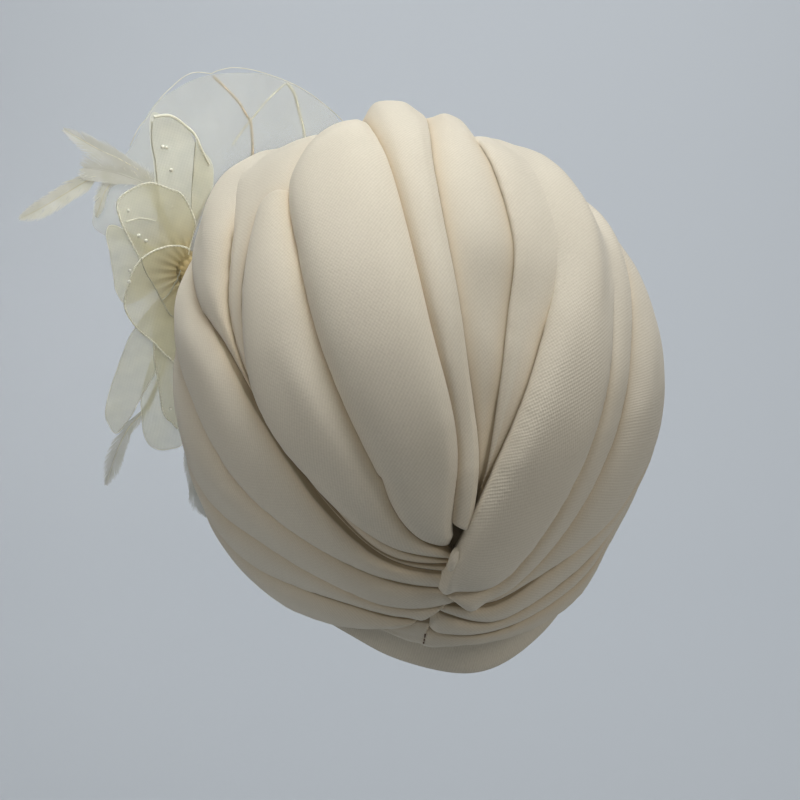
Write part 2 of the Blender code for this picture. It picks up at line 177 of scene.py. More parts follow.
# One row per fold: how far its crest stands over the crease level, where along the folds it starts, how many
# millimetres its end takes to round off, and how much of its width the round end takes from the first side
FOLDS = (
    # name, crest_back, crest_middle, crest_front, start, rounding, tip, tip_side
    ("seam_flap", 2, 3, 3, -0.30, 2, 0, 0.5),
    ("hem_left", 9, 11, 7, 0.06, 4, 6, 0.35),
    ("low_left", 9, 11, 7, -0.08, 4, 0, 0.5),
    ("mid_left", 9, 12, 7, -0.12, 4, 0, 0.5),
    ("top_left", 10, 12, 7, -0.14, 4, 0, 0.5),
    ("temple", 9, 11, 7, -0.14, 4, 0, 0.5),
    ("strip", 9, 6, 7, -0.14, 4, 0, 0.5),
    ("broad_left", 9, 15, 7, -0.12, 4, 0, 0.5),
    ("broad_crown", 10, 17, 8, -0.04, 4, 9, 0.45),
    ("narrow_crown", 12, 14, 8, 0.94, 3, 3, 0.5),
    ("groove", -7, 6, 7, 1.00, 2, 0, 0.5),
    ("groove_side", 0, 8, 7, 1.10, 3, 0, 0.5),
    ("broad_right", 14, 14, 8, -0.06, 3, 5, 0.8),
    ("shoulder", 14, 10, 7, -0.03, 3, 5, 0.3),
    ("side_right", 8, 9, 7, -0.02, 3, 0, 0.5),
    ("mid_right", 10, 8, 6, -0.02, 3, 5, 0.4),
    ("low_right", 8, 8, 6, -0.05, 5, 0, 0.5),
    ("hem_right", 6, 8, 6, -0.02, 6, 0, 0.5),
)
PANELS = (
    # object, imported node, first fold, last fold
    ("left_pleats_cloth", "left_pleats", "seam_flap", "narrow_crown"),
    ("centre_pleats_cloth", "centre_pleats", "groove", "groove_side"),
    ("right_pleats_cloth", "right_pleats", "broad_right", "hem_right"),
)
# Where along a fold, as a share, its crest has risen, and from where and over how long it falls
CREST_RISEN = 0.35
CREST_FALLS_FROM = 0.6
CREST_FALLS_OVER = 0.35
FOLD_ROWS = 210
# How far from a crease the painted crease shade is measured, and how far a lip hides the tucked side from it
CREASE_REACH = 20.0
TUCK_HIDDEN = 1.7
SECTION_STEPS = 4
FRONT_ROUNDING = 5.0
WIDE_FOLD = 11.0
FULL_LIP = 10.0
LEAST_LIP = 0.25

# The padding behind the folds' ends at the twist: its level, and its reach along and beside the slit
UNDER_LEVEL = -4.0
UNDER_THICKNESS = 4.0
UNDER_ALONG = (-36.0, 60.0)
UNDER_BESIDE = (-16.0, 22.0)

# The small roll of cloth on the edge of the top right fold: along and beside the slit, and its height
ROLL = ((26.5, 5.0, 4.6), (24.5, 4.2, 5.6), (22, 3.5, 6.4), (19, 3.2, 6.4), (16.5, 3.8, 5.0))
ROLL_LENGTH = 12.0
ROLL_RADIUS = 2.1
ROLL_SIDES = 16

# The stitches on the seam low at the back, each from one bearing and height over the hem to another
STITCHES = (
    ((184.0, 18.6), (184.4, 16.2)),
    ((184.6, 15.2), (184.8, 13.8)),
    ((185.0, 13.0), (185.2, 12.0)),
)
STITCH_RADIUS = 0.32

# Places across a fold from an edge to its crest: a share of the width, millimetres on top of that where
# positive is outwards, a share of the crest's height and millimetres on top of that
LIP = (
    # share, outwards, of_crest, up
    (0.00, -3.2, 0.00, -3.4),
    (0.00, -0.9, 0.00, -1.4),
    (0.00, 0.7, 0.12, -0.1),
    (0.00, 1.4, 0.28, 0.3),
    (0.00, 0.7, 0.48, 0.8),
    (0.03, -0.5, 0.64, 0.9),
    (0.12, -0.4, 0.82, 0.5),
    (0.28, 0.0, 0.96, 0.0),
)
TUCK = (
    # share, outwards, of_crest, up
    (0.00, 4.5, 0.00, -3.6),
    (0.00, 2.6, 0.00, -0.6),
    (0.00, 0.0, 0.24, 0.3),
    (0.05, 0.0, 0.42, 0.2),
    (0.15, 0.0, 0.68, 0.0),
    (0.31, 0.0, 0.92, 0.0),
)

# The padding's unevenness: the length of its waves across and along a fold, their height, a number that sets
# them apart, and how far in from a crease they reach. Folds under the full width have less of it
WRINKLES = (
    # across, along, height, apart, reach
    (16, 42, 0.75, 0, inf),
    (9, 15, 0.22, 5, inf),
    (14, 4.5, 0.34, 9, 3.2),
)
WRINKLED_WIDTH = 16
WRINKLE_SEEDS = 3.7


def unit(vector):
    vector = np.asarray(vector, float)
    return vector / np.linalg.norm(vector, axis=-1, keepdims=True)


def smooth(x):
    x = np.clip(x, 0.0, 1.0)
    return x * x * (3 - 2 * x)


def rounded_end(share):
    """How much of the height is left at a share of the way in from a round end."""
    return np.sqrt(1 - np.clip(1 - share, 0, 1) ** 2)


def curve_at(points, t):
    """The smooth curve through an array of points, which it meets where t is a whole number."""
    i = np.clip(t.astype(int), 0, len(points) - 2)
    u = np.clip(t - i, 0.0, 1.0)[..., None]
    a, b, c, d = (points[np.clip(i + j, 0, len(points) - 1)] for j in (-1, 0, 1, 2))
    return 0.5 * (2 * b + (c - a) * u + (2 * a - 5 * b + 4 * c - d) * u**2 + (3 * b - a - 3 * c + d) * u**3)


def spline(points, steps):
    """A smooth curve through the points, with so many steps from one to the next."""
    points = np.asarray(points, float)
    return curve_at(points, np.linspace(0, len(points) - 1, (len(points) - 1) * steps + 1))


def turned(vector, axis, degrees_round):
    """The vectors turned about one of the world's axes, 0 for X and 2 for Z."""
    c, s = cos(radians(degrees_round)), sin(radians(degrees_round))
    vector = np.array(vector, float)
    first, second = ((1, 2), (2, 0), (0, 1))[axis]
    a, b = vector[..., first].copy(), vector[..., second].copy()
    vector[..., first] = c * a - s * b
    vector[..., second] = s * a + c * b
    return vector


def polar(phi, theta):
    """The direction at phi from the pole and theta round it, where 0 is up and positive is to the right."""
    p, t = radians(phi), radians(theta)
    return turned(turned((sin(p) * sin(t), -cos(p), sin(p) * cos(t)), 2, POLE_YAW), 0, POLE_TILT)


def plain_dome(d):
    x, y, z = d[..., 0], d[..., 1], d[..., 2]
    narrowed = 1 - NAPE_TAPER * np.maximum(0, -z) ** 1.5 * np.maximum(0, -y)
    reach = np.where(z > 0, CROWN_RISE, LOWER_REACH)
    return np.stack((HALF_WIDTH * x * narrowed, HALF_DEPTH * y, reach * z), -1)


def sagging(d):
    """How far the padding has sunk under the plain dome in directions d."""
    back = turned(turned(d, 0, -POLE_TILT), 2, -POLE_YAW)
    phi = np.degrees(np.arccos(np.clip(-back[..., 1], -1, 1)))
    theta = np.degrees(np.arctan2(back[..., 0], back[..., 2]))
    sunk = 0.0
    for depth, middle, reach, middle_phi, reach_phi in SAGS:
        sunk = sunk + depth * np.exp(-((theta - middle) / reach) ** 4 - ((phi - middle_phi) / reach_phi) ** 4)
    return sunk


def dome(d, height=0.0):
    """The points of the dome in directions d, raised by height along its normal."""
    d = np.asarray(d, float)
    reach = np.where(d[..., 2] > 0, CROWN_RISE, LOWER_REACH)
    normal = unit(np.stack((d[..., 0] / HALF_WIDTH, d[..., 1] / HALF_DEPTH, d[..., 2] / reach), -1))
    swell = SWELL_HEIGHT * np.maximum(0, d @ unit(SWELL_AT)) ** SWELL_SHARPNESS
    point = plain_dome(d) + normal * (height + swell - sagging(d))[..., None]
    low, high = np.minimum(0, point[..., 2]), np.maximum(0, point[..., 2])
    point[..., 0] += NAPE_SHIFT * (low / 100) ** 2 - CROWN_SHIFT * high
    return point


def hem_level(y):
    return HEM_LEVEL + HEM_SLOPE * y


def hem_lift(bearing):
    c = cos(radians(bearing))
    from_seam = abs((bearing % 360) - SEAM_BEARING)
    end = HEM_LIFT_FRONT if c > 0 else HEM_LIFT_NAPE
    return end * c**2 + SEAM_LIFT * exp(-((from_seam / SEAM_SPREAD) ** 2))


def hem_direction(bearing, above=0.0):
    """The direction in which the dome meets the hem, or the level that far above it."""
    s, c = sin(radians(bearing)), cos(radians(bearing))
    low, high = 20.0, 200.0
    for _ in range(40):
        r = (low + high) / 2
        x, y = r * s, r * c
        z = hem_level(y) + hem_lift(bearing) + above
        d = np.array((x / HALF_WIDTH, y / HALF_DEPTH, z / (CROWN_RISE if z > 0 else LOWER_REACH)))
        way = unit(d)
        d[0] /= 1 - NAPE_TAPER * max(0.0, -way[2]) ** 1.5 * max(0.0, -way[1])
        if np.dot(d, d) < 1:
            low = r
        else:
            high = r
    return unit(d)


def band_shown(bearing):
    c = cos(radians(bearing))
    end = BAND_SHOWN_FRONT if c > 0 else BAND_SHOWN_NAPE
    return BAND_SHOWN_SIDE + (end - BAND_SHOWN_SIDE) * c**2


def wall_at(d):
    point = plain_dome(d)
    over_hem = point[..., 2] - hem_level(point[..., 1])
    return HEM_WALL + (CROWN_WALL - HEM_WALL) * smooth(over_hem / WALL_GROWS_OVER)


def to_world(point):
    """From the dome's own frame to the model's, in metres."""
    moved = np.asarray(point, float) - CROWN_SEAT
    c, s = cos(radians(LEAN)), sin(radians(LEAN))
    x, y, z = moved[..., 0], moved[..., 1], moved[..., 2]
    return np.stack((c * x - s * z, y, s * x + c * z), -1) * MM


UP = np.array((0.0, 0.0, 1.0))
CROWN_SEAT = dome(UP, sagging(UP) - wall_at(UP))


def slit_direction(along, beside):
    x = (SLIT_SLANT * along + beside) / HALF_WIDTH
    return unit(polar(0, 0) + np.array((x, 0, along / LOWER_REACH)))


def along_curve(points, t):
    """Directions on a smooth curve through the points at every t, which may begin before the first."""
    points, t = np.asarray(points), np.asarray(t, float)
    return unit(curve_at(points, t) + (points[1] - points[0]) * np.minimum(t, 0.0)[..., None])


def crease_points(row):
    _, slit, beside, *thetas, front, _ = row
    points = [slit_direction(slit, beside)]
    points += [polar(phi, theta) for phi, theta in zip(STATIONS, thetas)]
    end = hem_direction(front + FRONT_SHIFT)
    return points + [unit(points[-1] + end), end]


def hem_line(bearings, t):
    """The folds' lower edge at every t, drawn up over the band where DRAWN_UP says so."""
    places = np.arange(len(bearings))
    before = np.minimum(t, 0.0) * (bearings[1] - bearings[0])
    at = np.interp(t, places, bearings) + before
    lift = np.interp(at % 360, *zip(*DRAWN_UP))
    return np.array([hem_direction(bearing, above) for bearing, above in zip(at, lift)])


CREASE_POINTS = {row[0]: crease_points(row) for row in CREASES}
CREASE_NAMES = ["hem_left", "flap_edge"] + [row[0] for row in CREASES] + ["hem_right"]
OVERS = ["hem", "next"] + [row[-1] for row in CREASES] + ["hem"]
FOLD_NAMES = [row[0] for row in FOLDS]


def crease(name, t):
    """Directions along a crease at every t."""
    if name == "hem_right":
        return hem_line(HEM_RIGHT, t)
    if name in ("hem_left", "flap_edge"):
        directions = hem_line(HEM_LEFT, t)
        if name == "flap_edge":
            kept = np.clip(1 - t / FLAP_END, 0, 1)[..., None] ** FLAP_CURVE
            directions = unit(directions + (slit_direction(*FLAP_TIP) - hem_line(HEM_LEFT, 0 * t)) * kept)
        return directions
    directions = along_curve(CREASE_POINTS[name], t)
    for swung, along, at, spread in SWINGS:
        if swung == name:
            shift = along * np.exp(-(((t - at) / spread) ** 2)) / LOWER_REACH
            directions = unit(directions + UP * shift[..., None])
    return directions


def fold_edges(k, t):
    """The two edges of fold k. The broad left fold ends blunt, and the one under it passes behind its end."""
    a, b = crease(CREASE_NAMES[k], t), crease(CREASE_NAMES[k + 1], t)
    if FOLD_NAMES[k] == "broad_left":
        share = np.clip((t - (BLUNT_END - BLUNT_SPAN)) / BLUNT_SPAN, 0, 1)
        a = unit(b + (a - b) * (1 - share**BLUNT_CORNER)[..., None] ** (1 / BLUNT_CORNER))
    if FOLD_NAMES[k] == "strip":
        beyond = crease(CREASE_NAMES[k + 2], t)
        share = smooth((t - (BLUNT_END - PASSING_SPAN)) / PASSING_SPAN)[..., None]
        b = unit(b + (beyond - b) * share)
    return a, b


def crest_height(row, t, width):
    name, back, middle, front = row[:4]
    if name == "broad_left":
        width = np.maximum(width, BLUNT_WIDTH * smooth(t - 3))
    share = t / SPANS
    rising = back + (middle - back) * smooth(share / CREST_RISEN)
    falling = middle + (front - middle) * smooth((share - CREST_FALLS_FROM) / CREST_FALLS_OVER)
    height = np.where(share < CREST_RISEN, rising, falling)
    return np.where(height > 0, height * width / (width + WIDE_FOLD), height)


def closing(k, t):
    """How far crease k has closed up at every t, and the height of the smooth surface there."""
    name = CREASE_NAMES[k]
    share, level = 0.0 * t, 0.0 * t
    for closed, begins, ends, valley in CLOSED:
        if closed == name:
            share = smooth((t - begins) / (ends - begins))
            crests = []
            for beside in (k - 1, k):
                a, b = fold_edges(beside, t)
                crests.append(crest_height(FOLDS[beside], t, np.linalg.norm(dome(a) - dome(b), axis=-1)))
            level = np.minimum(*crests) * (1 - valley)
    return share, level


def edge_places(table, width, crest, hem_wall, closed):
    """Places out from the crest line and heights of one half of a fold's section, from its edge inwards."""
    reach = np.clip(width / FULL_LIP, LEAST_LIP, 1.0)
    shut, level = closed
    places = []
    hidden = sum(1 for row in table if row[0] == 0)
    for place_index, (share, outwards, of_crest, up) in enumerate(table):
        beyond = CLOSED_REACH * max(0, hidden - 1 - place_index) / (hidden - 1)
        smooth_place = share * width - beyond
        smooth_height = level + (crest - level) * smooth(2 * share) - CLOSED_DIP * beyond**2
        place = share * width - outwards * reach
        height = of_crest * np.maximum(crest, 0) + up * reach + np.minimum(crest, 0)
        places.append((place + (smooth_place - place) * shut, height + (smooth_height - height) * shut))
    if hem_wall is not None:
        places[0] = (0 * width + 1.0, -hem_wall)
        places[1] = (0 * width - 0.1, -0.55 * hem_wall)
    return places


def section(width, crest, wall, sides, closed):
    """Places across a fold and heights at each row, ringed from one edge over the crest and back inside."""
    near, far = (
        edge_places(TUCK if side == "under" else LIP, width, crest, wall if side == "hem" else None, shut)
        for side, shut in zip(sides, closed)
    )
    across = [place for place, _ in near] + [0.5 * width] + [width - place for place, _ in reversed(far)]
    high = [height for _, height in near] + [crest] + [height for _, height in reversed(far)]
    across, high = (spline(np.stack(values), SECTION_STEPS).T for values in (across, high))
    inner = np.stack((width, 0.66 * width, 0.33 * width, 0 * width), -1)
    return np.concatenate((across, inner), 1), np.concatenate((high, 0 * inner - wall[:, None]), 1)


def wrinkles(across, along, width, seed):
    """Small uneven swells of the padding and short puckers beside the creases, in millimetres."""
    out = np.zeros(across.shape)
    for (i, j), u in np.ndenumerate(across):
        beside = max(0.0, min(u, width[i] - u))
        for wide, long, high, apart, reach in WRINKLES:
            wave = noise.noise(Vector((u / wide, along[i] / long, seed + apart)))
            out[i, j] += high * wave * exp(-beside / reach)
    return out * np.minimum(1.0, width / WRINKLED_WIDTH)[:, None]


def crease_distance(path, sides, closed):
    """How far each point lies from where its fold leaves the nearer crease, and 1 if it is tucked there.
    These set the painted shade along the creases.
    """
    inner = path.shape[1] - 5
    distances = []
    for k, (side, (shut, _)) in enumerate(zip(sides, closed)):
        contact = (2 if side == "under" else 3) * SECTION_STEPS
        from_contact = path - path[:, [contact]] if k == 0 else path[:, [inner - contact]] - path
        distances.append(from_contact - (TUCK_HIDDEN if side == "under" else 0.0))
        distances[k] = np.clip(distances[k], 0, CREASE_REACH) + CREASE_REACH * shut[:, None]
        if side == "hem":
            distances[k] += CREASE_REACH
    nearer = np.minimum(*distances)
    tucked = np.where(distances[0] < distances[1], sides[0] == "under", sides[1] == "under")
    return np.minimum(nearer, CREASE_REACH), tucked.astype(float)


def fold_grid(k):
    """Points and fabric coordinates of one fold, ring by ring, from the slit to the front hem."""
    row = FOLDS[k]
    name, start, rounding, tip, tip_side = row[0], *row[4:8]
    end = {"broad_left": BLUNT_END - 0.004, "seam_flap": FLAP_END}.get(name, SPANS)
    t = start + (end - start) * np.linspace(0, 1, FOLD_ROWS) ** 1.15
    a, b = fold_edges(k, t)
    middle = dome(unit(a + b))
    along = np.concatenate(((0,), np.cumsum(np.linalg.norm(np.diff(middle, axis=0), axis=-1))))
    if tip:
        kept = rounded_end(along / tip)[:, None]
        a, b = unit(a + (b - a) * (1 - kept) * tip_side), unit(b + (a - b) * (1 - kept) * (1 - tip_side))
    width = np.maximum(np.linalg.norm(dome(a) - dome(b), axis=-1), 0.02)
    wall = wall_at(unit(a + b))
    first = {"hem": "hem", "next": "over", "last": "under"}[OVERS[k]]
    last = {"hem": "hem", "next": "under", "last": "over"}[OVERS[k + 1]]
    closed = closing(k, t), closing(k + 1, t)
    across, high = section(width, crest_height(row, t, width), wall, (first, last), closed)
    calm = 1.0
    for (shut, _), beside in zip(closed, (across, width[:, None] - across)):
        calm = calm * (1 - shut[:, None] * np.exp(-((beside / CALM_REACH) ** 2)))
    high[:, :-4] += wrinkles(across[:, :-4], along, width, WRINKLE_SEEDS * k) * calm[:, :-4]
    kept = rounded_end(along / rounding)
    if name == "broad_left":
        kept = kept * np.sqrt(1 - ((t - end + BLUNT_SPAN) / BLUNT_SPAN).clip(0, 1) ** BLUNT_EDGE)
    else:
        kept = kept * rounded_end((along[-1] - along) / FRONT_ROUNDING)
    floor = -np.minimum(wall - 0.5, 4.5)[:, None]
    high = np.where(high > floor, floor + (high - floor) * kept[:, None], high)
    share = across / width[:, None]
    d = unit(a[:, None] + (b - a)[:, None] * share[..., None])
    points = to_world(dome(d, high))
    path = np.concatenate((np.zeros((len(t), 1)), np.cumsum(np.hypot(np.diff(across), np.diff(high)), 1)), 1)
    from_crease, tucked = crease_distance(path, (first, last), closed)
    # Round the broad left lobe's end the strip gets the crease shade as a painted shadow of the lobe
    if name == "strip":
        lobe_t = np.linspace(BLUNT_END - 2, BLUNT_END - 0.001, 120)
        lobe = to_world(dome(fold_edges(k + 1, lobe_t)[0], FOLD_STAND / 2)) / MM
        for i, row_points in enumerate(points / MM):
            from_lobe = np.linalg.norm(row_points[:, None] - lobe[None], axis=-1).min(1) - LOBE_SHADE
            from_crease[i] = np.minimum(from_crease[i], np.maximum(from_lobe, 0))
            tucked[i] = 1.0
    path -= path[:, path.shape[1] // 2][:, None]
    lengthwise = np.repeat(along[:, None], path.shape[1], 1)
    return points, np.stack((path * MM, lengthwise * MM, from_crease * MM, tucked), -1)


def mesh_object(name, points, faces, coords=None, closed=False):
    """An object of points and faces. The fabric coordinates fill one map for each two columns."""
    mesh = bpy.data.meshes.new(name)
    mesh.from_pydata([tuple(p) for p in points], [], faces)
    if coords is not None:
        index = np.empty(len(mesh.loops), np.int32)
        mesh.loops.foreach_get("vertex_index", index)
        coords = np.asarray(coords, np.float32)
        for first, layer_name in enumerate(("cloth", "crease")[: coords.shape[1] // 2]):
            layer = mesh.uv_layers.new(name=layer_name)
            layer.data.foreach_set("uv", coords[index][:, 2 * first : 2 * first + 2].ravel())
    mesh.shade_smooth()
    if closed:
        shell = bmesh.new()
        shell.from_mesh(mesh)
        bmesh.ops.recalc_face_normals(shell, faces=shell.faces)
        shell.to_mesh(mesh)
        shell.free()
    obj = bpy.data.objects.new(name, mesh)
    bpy.context.scene.collection.objects.link(obj)
    return obj


def fixed(obj, slot, node, *materials):
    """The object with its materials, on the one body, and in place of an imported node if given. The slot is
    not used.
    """
    for made in materials:
        obj.data.materials.append(made)
    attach(obj, "root")
    if node:
        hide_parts(node)
    return obj


def grid_faces(rows, count, start=0, closed=True, endless=False):
    """Faces between the rows of a grid of points. Closed rows are rings. An endless grid meets its start."""
    faces = []
    for r in range(rows if endless else rows - 1):
        here, there = start + r * count, start + (r + 1) % rows * count
        for c in range(count if closed else count - 1):
            beside = (c + 1) % count
            faces.append((here + c, here + beside, there + beside, there + c))
    return faces


def tube_faces(rows, count, start=0):
    """Faces of a tube whose rows are rings, with a cap at either end."""
    end = start + rows * count
    caps = [tuple(range(start + count - 1, start - 1, -1)), tuple(range(end - count, end))]
    return grid_faces(rows, count, start) + caps


def under_grid():
    """Points and fabric coordinates of the padding that closes the twist from behind, ring by ring."""
    grid, coords = [], []
    across = np.linspace(*UNDER_BESIDE, 12)
    for along in np.linspace(*UNDER_ALONG, 26):
        outer, inner = (
            [dome(slit_direction(along, beside), np.array(level)) for beside in across]
            for level in (UNDER_LEVEL, UNDER_LEVEL - UNDER_THICKNESS)
        )
        grid.append(to_world(outer + inner[::-1]))
        # Its crease distance of nought paints the whole padding with the dark crease shade, as painted shadow
        # in the twist
        coords.append([(beside * MM, along * MM, 0.0, 0.0) for beside in (*across, *across[::-1])])
    return np.array(grid), np.array(coords)


def roll_grid():
    """Points and fabric coordinates of the roll of cloth on the edge of the top right fold, ring by ring."""
    grid, coords = [], []
    path = spline(ROLL, 8)
    turns = [2 * pi * j / ROLL_SIDES for j in range(ROLL_SIDES)]
    for share, (along, beside, high) in zip(np.linspace(0, 1, len(path)), path):
        reach = ROLL_RADIUS * (1 - abs(2 * share - 1) ** 3) ** 0.5 + 0.02
        ring = [(beside + reach * cos(a), high + reach * sin(a)) for a in turns]
        grid.append(to_world([dome(slit_direction(along, place), np.array(level)) for place, level in ring]))
        coords.append([(a * reach * MM, share * ROLL_LENGTH * MM, CREASE_REACH * MM, 0.0) for a in turns])
    return np.array(grid), np.array(coords)


def stitches(cloths):
    """The dark stitches that show on the seam low at the back, laid on the folds there."""
    parts = []
    for first, last in STITCHES:
        path = []
        for share in np.linspace(0, 1, 5):
            d = hem_direction(*(np.array(first) * (1 - share) + np.array(last) * share))
            start, aim = (to_world(dome(d, np.array(level))) for level in (40.0, -20.0))
            way = Vector(aim - start).normalized()
            hits = [cloth.ray_cast(Vector(start), way) for cloth in cloths]
            nearest = min((hit[1] for hit in hits if hit[0]), key=lambda at: (at - Vector(start)).length)
            path.append(nearest - way * STITCH_RADIUS * (1.4 - 2.2 * abs(share - 0.5)) * MM)
        parts.append(tube(path, STITCH_RADIUS * MM, 6))
    thread = thread_material("seam_thread", (0.16, 0.10, 0.06), 0.6)
    fixed(mesh_object("seam_stitches", *joined(parts), closed=True), "padded_knit", None, thread)


def pleats(name, node, first, last, made_of):
    """A group of folds as one piece of closed tubes, with the padding or the roll that belongs to it."""
    grids = [fold_grid(k) for k in range(FOLD_NAMES.index(first), FOLD_NAMES.index(last) + 1)]
    if node == "left_pleats":
        grids.append(under_grid())
    if node == "right_pleats":
        grids.append(roll_grid())
    points, faces, coords = [], [], []
    for grid, cloth in grids:
        faces += tube_faces(*grid.shape[:2], len(points))
        points.extend(grid.reshape(-1, 3))
        coords.extend(cloth.reshape(-1, cloth.shape[-1]))
    obj = fixed(mesh_object(name, points, faces, coords, closed=True), "padded_knit", node, made_of)
    return obj


def rim_band(made_of):
    """The plain band round the head opening, with a soft folded lower edge."""
    points, coords = [], []
    for k in range(BAND_SEGMENTS):
        bearing = 360.0 * k / BAND_SEGMENTS
        tucked = BAND_TUCK + np.interp(bearing, *zip(*DRAWN_UP))
        for j, (down, inside) in enumerate(BAND_RINGS):
            d = hem_direction(bearing, tucked * -min(0.0, down))
            soft = 0.5 * noise.noise(Vector((bearing / 14, down * 1.1, 2.0))) * max(0.0, down) * (1 - down)
            soft += 0.35 * noise.noise(Vector((bearing / 30, down * 6.0, 7.0))) * (1 if down > 0 else 0)
            point = dome(d, -wall_at(d) - BAND_GAP - inside * BAND_THICKNESS + soft)
            points.append(to_world(point + unit(BAND_DOWN) * band_shown(bearing) * max(0.0, down)))
            coords.append((k * BAND_STEP * MM, j * BAND_STEP * MM))
    faces = grid_faces(BAND_SEGMENTS, len(BAND_RINGS), endless=True)
    obj = mesh_object("rim_band_cloth", points, faces, coords, closed=True)
    fixed(obj, "band_knit", "rim_band", made_of)


def node_of(tree, kind, **values):
    """A new shader node with some of its inputs or settings given."""
    made = tree.nodes.new(kind)
    for key, value in values.items():
        if hasattr(made, key):
            setattr(made, key, value)
        else:
            made.inputs[key].default_value = value
    return made


def fresh_material(name):
    made = bpy.data.materials.new(name)
    made.use_nodes = True
    return made, made.node_tree, made.node_tree.nodes["Principled BSDF"]


def summed(tree, terms):
    """A value made of sums and products, given as nested tuples of an operation and its two terms."""
    if not isinstance(terms, tuple):
        return terms
    made = node_of(tree, "ShaderNodeMath", operation=terms[0])
    for socket, term in zip(made.inputs, terms[1:]):
        value = summed(tree, term)
        if isinstance(value, (int, float)):
            socket.default_value = value
        else:
            tree.links.new(value, socket)
    return made.outputs[0]


def cloth_map(tree, layer):
    """One of a cloth's maps: its coordinates, then their two parts."""
    coords = node_of(tree, "ShaderNodeUVMap", uv_map=layer).outputs["UV"]
    parts = node_of(tree, "ShaderNodeSeparateXYZ")
    tree.links.new(coords, parts.inputs[0])
    return coords, parts.outputs[0], parts.outputs[1]


def soft_noise(tree, place, scale, detail, roughness=0.5):
    made = node_of(tree, "ShaderNodeTexNoise", Scale=scale, Detail=detail, Roughness=roughness)
    tree.links.new(place, made.inputs["Vector"])
    return made.outputs["Fac"]


def waves(terms, length):
    return ("SINE", ("MULTIPLY", terms, 2 * pi / length), 0)


def fading(distance, reach):
    """Terms for a share that is 1 at no distance and falls off over the reach."""
    return ("POWER", 2.718, ("DIVIDE", distance, -reach))


def toned(colour, factors):
    """The colour with each of its parts multiplied, and none of them over 1."""
    return tuple(min(1.0, c * f) for c, f in zip(colour, factors))


def mixed(tree, share, first, second):
    """A mix of two colours, where the first may be the output of another mix."""
    mix = node_of(tree, "ShaderNodeMix", data_type="RGBA")
    tree.links.new(share, mix.inputs[0])
    if isinstance(first, tuple):
        mix.inputs[6].default_value = (*first, 1)
    else:
        tree.links.new(first, mix.inputs[6])
    mix.inputs[7].default_value = (*second, 1)
    return mix.outputs[2]


def relief_on(tree, shader, height, strength, depth):
    bump = node_of(tree, "ShaderNodeBump", Strength=strength, Distance=depth)
    tree.links.new(height, bump.inputs["Height"])
    tree.links.new(bump.outputs[0], shader.inputs["Normal"])


def surface(shader, **values):
    """The shader's own values, each under its socket's name with lines for spaces."""
    for key, value in values.items():
        shader.inputs[key.replace("_", " ")].default_value = value


KNIT_ROWS = 0.8
LIGHTER = (1.05, 1.05, 1.05)
# KNIT_SHADE is the dark end of the knit's uneven tint, and of the painted shade in the hollows between its
# cells
KNIT_SHADE = (0.85, 0.835, 0.81)
# Painted shade in the creases: a warm shade a few millimetres wide and a painted dark shadow line at the
# crease
WARM_CREASE_SHADE = (0.84, 0.70, 0.52)
DARK_CREASE_SHADOW = (0.30, 0.25, 0.18)


def knit_material(name, colour, cell, relief, crease_shaded=False):
    """Ivory double knit: small raised cells in staggered rows, with a faint uneven tint and painted shade in
    the hollows between the cells.
    """
    made, tree, shader = fresh_material(name)
    cloth, u, v = cloth_map(tree, "cloth")
    rising, falling = (waves((way, u, ("MULTIPLY", v, KNIT_ROWS)), cell) for way in ("ADD", "SUBTRACT"))
    cells = ("ADD", ("MULTIPLY", rising, 0.3), ("MULTIPLY", falling, 0.7))
    uneven = ("MULTIPLY", ("SUBTRACT", soft_noise(tree, cloth, 950.0, 1.5), 0.5), 2.0)
    weave = summed(tree, ("ADD", ("MULTIPLY", cells, 0.7), uneven))
    position = node_of(tree, "ShaderNodeNewGeometry").outputs["Position"]
    cloudy = ("ADD", ("MULTIPLY", soft_noise(tree, position, 38.0, 3.0, 0.6), 0.45), 0.22)
    # The weave's share of the tone is painted shade in the hollows between the cells; the cloudy share is
    # uneven tint
    tone = summed(tree, ("ADD", ("MULTIPLY", weave, 0.32), cloudy))
    tinted = mixed(tree, tone, toned(colour, KNIT_SHADE), toned(colour, LIGHTER))
    # Painted shade along the creases, warm and stronger on tucked sides, with a painted dark shadow line at
    # each crease
    if crease_shaded:
        _, distance, tucked = cloth_map(tree, "crease")
        warm_shade_strength = ("ADD", ("MULTIPLY", tucked, 0.55), 0.08)
        for shade, reach, strength in ((WARM_CREASE_SHADE, 0.0034, warm_shade_strength), (DARK_CREASE_SHADOW, 0.0005, 0.85)):
            share = summed(tree, ("MULTIPLY", fading(distance, reach), strength))
            tinted = mixed(tree, share, tinted, toned(colour, shade))
    tree.links.new(tinted, shader.inputs["Base Color"])
    relief_on(tree, shader, weave, relief, 0.0004)
    surface(shader, Roughness=0.92, Specular_IOR_Level=0.25)
    surface(shader, Sheen_Weight=0.25, Sheen_Roughness=0.5, Sheen_Tint=(1.0, 0.96, 0.88, 1))
    return made


# The flower's knot in the dome's frame, the turn of its face, how its petals dish, and its layers' clearances
FLOWER_AT = (-109.0, 46.0, 49.4)
FLOWER_TURN = 28.0
FLOWER_DISH = 6.0
DISH_REACH = 80.0
PETAL_ROOT = 8.4
PETAL_GATHERS = 23
GATHERS_OVER = 7
RUFFLES_OVER = 30
FOLD_STAND = 12.0
PETAL_CLEARANCE = 2.0
LAYER_STEP = 0.5
PETAL_RINGS = 16
OUTLINE_STEPS = 9

